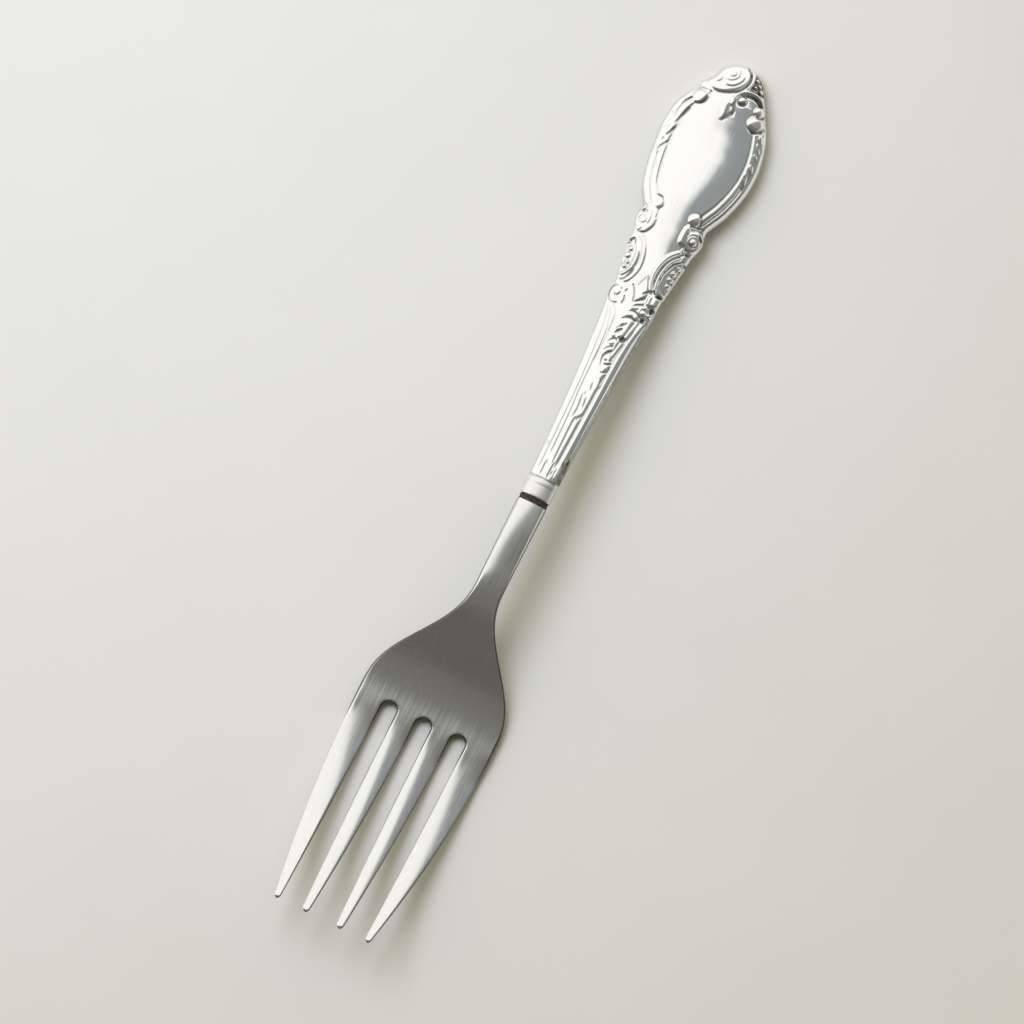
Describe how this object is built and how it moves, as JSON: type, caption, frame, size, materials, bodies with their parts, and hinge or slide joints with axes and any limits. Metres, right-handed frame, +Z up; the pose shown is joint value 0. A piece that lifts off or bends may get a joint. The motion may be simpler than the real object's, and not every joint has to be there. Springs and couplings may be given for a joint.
{
  "type": "table fork",
  "caption": "Table fork with a forged steel head, its tang cemented into a hollow handle of struck silver half-shells behind a plain ferrule.",
  "frame": {"origin": "bottom centre of the fork's box, on the surface that it lies on", "axes": "+X from the tines to the end of the handle, +Y to the left seen from above, +Z up out of the hollow of the tines"},
  "size_m": [0.19, 0.0292, 0.0151],
  "materials": {
    "steel": "satin, brushed along the fork",
    "silver": "polished, dark in the recesses",
    "solder": "polished flush",
    "pitch": "matt, dark brown",
    "filler": "matt, cast"
  },
  "bodies": {
    "root": {"fork_head": "steel", "joint_cement": "pitch", "ferrule": "silver", "ferrule_solder": "solder", "handle_front_shell": "silver", "handle_back_shell": "silver", "seam_solder": "solder", "filler_cement": "filler"}
  },
  "joints": []
}
